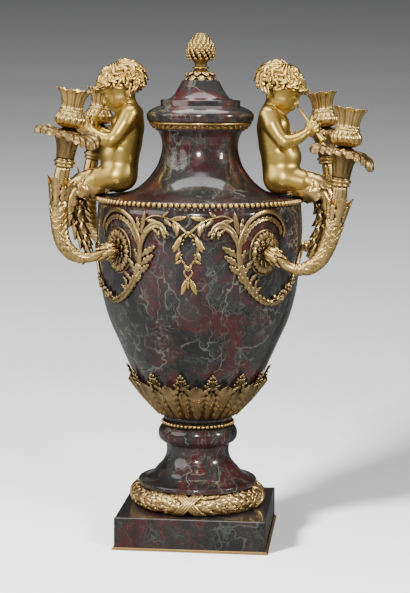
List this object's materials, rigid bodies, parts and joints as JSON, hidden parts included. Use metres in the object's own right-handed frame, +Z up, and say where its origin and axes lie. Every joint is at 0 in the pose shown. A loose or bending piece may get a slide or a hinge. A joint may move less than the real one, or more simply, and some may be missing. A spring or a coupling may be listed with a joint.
{
  "type": "marble lidded vase with candle branches",
  "caption": "Covered ovoid marble vase on a square plinth, with seated piping children on its shoulder, curved candle branches and gilt leaf mounts.",
  "frame": {"origin": "middle of the plinth's underside, where it rests on the table", "axes": "+Z up along the vase's turning axis, -Y towards the front with one pendant of laurel, +X towards the child on the viewer's right"},
  "size_m": [0.4635, 0.3405, 0.7026],
  "materials": {
    "marble": "polished red and green marble with pale veins",
    "gilt": "gilt bronze, matte in the foliage and burnished on the figures"
  },
  "bodies": {
    "root": {"plinth": "marble", "plinth_rim": "gilt", "foot": "marble", "foot_wreath": "gilt", "foot_beads": "gilt", "body": "marble", "leaf_cup": "gilt", "shoulder_beads": "gilt", "neck": "marble", "neck_frieze": "gilt", "lid": "marble", "finial_collar": "gilt", "finial_cone": "gilt", "pendant_front": "gilt", "pendant_back": "gilt", "scroll_front_left": "gilt", "scroll_front_right": "gilt", "scroll_back_left": "gilt", "scroll_back_right": "gilt", "rosette_front_left": "gilt", "rosette_front_right": "gilt", "rosette_back_left": "gilt", "rosette_back_right": "gilt", "branch_front_left": "gilt", "branch_front_right": "gilt", "branch_back_left": "gilt", "branch_back_right": "gilt", "pan_front_left": "gilt", "pan_front_right": "gilt", "pan_back_left": "gilt", "pan_back_right": "gilt", "nozzle_front_left": "gilt", "nozzle_front_right": "gilt", "nozzle_back_left": "gilt", "nozzle_back_right": "gilt", "child_left": "gilt", "child_right": "gilt", "pipe_left_front": "gilt", "pipe_left_back": "gilt", "pipe_right_front": "gilt", "pipe_right_back": "gilt"}
  },
  "joints": []
}
